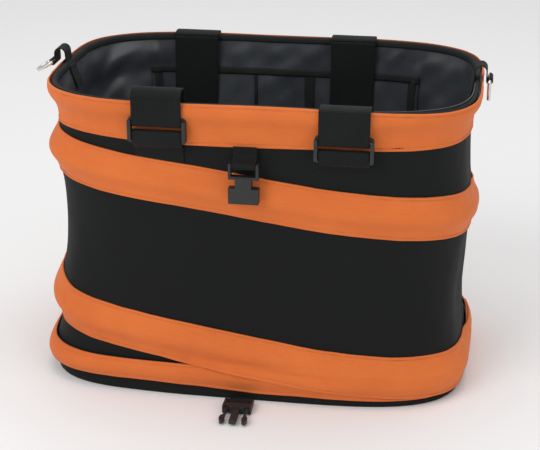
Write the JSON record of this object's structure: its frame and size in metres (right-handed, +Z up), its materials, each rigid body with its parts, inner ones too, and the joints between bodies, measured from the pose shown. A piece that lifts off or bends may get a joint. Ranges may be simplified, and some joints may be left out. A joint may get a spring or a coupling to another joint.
{
  "type": "collapsible tool tote bag",
  "caption": "Open-topped pop-up fabric tote held up by a spiral spring wire, with folding webbing handles, end rings and a side-release buckle that holds it flat.",
  "frame": {"origin": "middle of the base's underside, on the floor", "axes": "+X along the bag's length to the right, -Y towards the front, +Z up"},
  "size_m": [0.4872, 0.3864, 0.3381],
  "materials": {
    "orange_fabric": "woven polyester",
    "black_fabric": "woven polyester",
    "coated_lining": "semi-gloss coated",
    "black_webbing": "ribbed webbing",
    "black_plastic": "satin moulded",
    "spring_steel": "drawn",
    "polished_steel": "nickel plated",
    "stiffener": "pressed sheet"
  },
  "bodies": {
    "base": {"base_panel": "black_fabric", "base_board": "stiffener", "floor_lining": "coated_lining", "base_binding": "black_fabric", "base_band": "orange_fabric", "base_wire": "spring_steel", "base_ferrule": "polished_steel", "wall_shell": "black_fabric", "wall_lining": "coated_lining", "spiral_band": "orange_fabric", "spiral_wire": "spring_steel", "pocket_panel": "coated_lining", "pocket_binding": "black_webbing", "pocket_dividers": "black_webbing", "front_lower_strap": "black_webbing", "back_lower_strap": "black_webbing"},
    "rim": {"rim_band": "orange_fabric", "rim_binding": "black_fabric", "rim_wire": "spring_steel", "rim_ferrule": "polished_steel", "front_left_anchor": "black_webbing", "front_right_anchor": "black_webbing", "back_left_anchor": "black_webbing", "back_right_anchor": "black_webbing", "front_left_lock": "black_plastic", "front_right_lock": "black_plastic", "back_left_lock": "black_plastic", "back_right_lock": "black_plastic", "front_handle_tails": "black_webbing", "back_handle_tails": "black_webbing", "front_handle_bends": "black_webbing", "back_handle_bends": "black_webbing", "left_ring_tab": "black_webbing", "right_ring_tab": "black_webbing", "front_upper_strap": "black_webbing", "back_upper_strap": "black_webbing"},
    "front_handle": {"front_handle": "black_webbing"},
    "back_handle": {"back_handle": "black_webbing"},
    "left_d_ring": {"left_d_ring": "polished_steel"},
    "right_d_ring": {"right_d_ring": "polished_steel"},
    "front_female_buckle": {"front_female_buckle": "black_plastic"},
    "back_female_buckle": {"back_female_buckle": "black_plastic"},
    "front_male_buckle": {"front_male_buckle": "black_plastic"},
    "back_male_buckle": {"back_male_buckle": "black_plastic"},
    "front_left_prong": {"front_left_prong": "black_plastic"},
    "front_right_prong": {"front_right_prong": "black_plastic"},
    "back_left_prong": {"back_left_prong": "black_plastic"},
    "back_right_prong": {"back_right_prong": "black_plastic"}
  },
  "joints": [
    {"name": "collapse", "type": "slide", "parent": "base", "child": "rim", "axis": [0, 0, -1], "range_m": [0, 0.19], "stiffness_N_per_m": 120, "springref_m": -0.08, "deforming": ["wall_shell", "wall_lining", "spiral_band", "spiral_wire", "pocket_panel", "pocket_binding", "pocket_dividers", "front_left_anchor", "front_right_anchor", "back_left_anchor", "back_right_anchor", "front_handle", "back_handle"]},
    {"name": "front_handle_swing", "type": "hinge", "parent": "rim", "child": "front_handle", "pos_m": [0, -0.1333, 0.326], "axis": [1, 0, 0], "range_deg": [0, 180], "deforming": ["front_handle_bends"]},
    {"name": "back_handle_swing", "type": "hinge", "parent": "rim", "child": "back_handle", "pos_m": [0, 0.1333, 0.326], "axis": [-1, 0, 0], "range_deg": [0, 180], "deforming": ["back_handle_bends"]},
    {"name": "left_ring_swing", "type": "hinge", "parent": "rim", "child": "left_d_ring", "pos_m": [-0.2315, 0, 0.321], "axis": [0, 1, 0], "range_deg": [-60, 60]},
    {"name": "right_ring_swing", "type": "hinge", "parent": "rim", "child": "right_d_ring", "pos_m": [0.2315, 0, 0.321], "axis": [0, -1, 0], "range_deg": [0, 120]},
    {"name": "front_female_swing", "type": "hinge", "parent": "rim", "child": "front_female_buckle", "pos_m": [0, -0.1472, 0.264], "axis": [-1, 0, 0], "range_deg": [0, 100]},
    {"name": "back_female_swing", "type": "hinge", "parent": "rim", "child": "back_female_buckle", "pos_m": [0, 0.1472, 0.264], "axis": [1, 0, 0], "range_deg": [0, 100]},
    {"name": "front_male_lift", "type": "hinge", "parent": "base", "child": "front_male_buckle", "pos_m": [-0.006, -0.15, 0.0043], "axis": [-1, 0, 0], "range_deg": [0, 90]},
    {"name": "back_male_lift", "type": "hinge", "parent": "base", "child": "back_male_buckle", "pos_m": [0.006, 0.15, 0.0043], "axis": [1, 0, 0], "range_deg": [0, 90]},
    {"name": "front_left_prong_flex", "type": "hinge", "parent": "front_male_buckle", "child": "front_left_prong", "pos_m": [-0.0165, -0.167, 0.0043], "axis": [0, 0, 1], "range_deg": [0, 6], "stiffness_Nm_per_rad": 0.05},
    {"name": "front_right_prong_flex", "type": "hinge", "parent": "front_male_buckle", "child": "front_right_prong", "pos_m": [0.0045, -0.167, 0.0043], "axis": [0, 0, -1], "range_deg": [0, 6], "stiffness_Nm_per_rad": 0.05},
    {"name": "back_left_prong_flex", "type": "hinge", "parent": "back_male_buckle", "child": "back_left_prong", "pos_m": [-0.0045, 0.167, 0.0043], "axis": [0, 0, -1], "range_deg": [0, 6], "stiffness_Nm_per_rad": 0.05},
    {"name": "back_right_prong_flex", "type": "hinge", "parent": "back_male_buckle", "child": "back_right_prong", "pos_m": [0.0165, 0.167, 0.0043], "axis": [0, 0, 1], "range_deg": [0, 6], "stiffness_Nm_per_rad": 0.05}
  ],
  "couplings": [
    {"joint": "front_right_prong_flex", "follows": "front_left_prong_flex", "ratio": 1},
    {"joint": "back_right_prong_flex", "follows": "back_left_prong_flex", "ratio": 1}
  ]
}
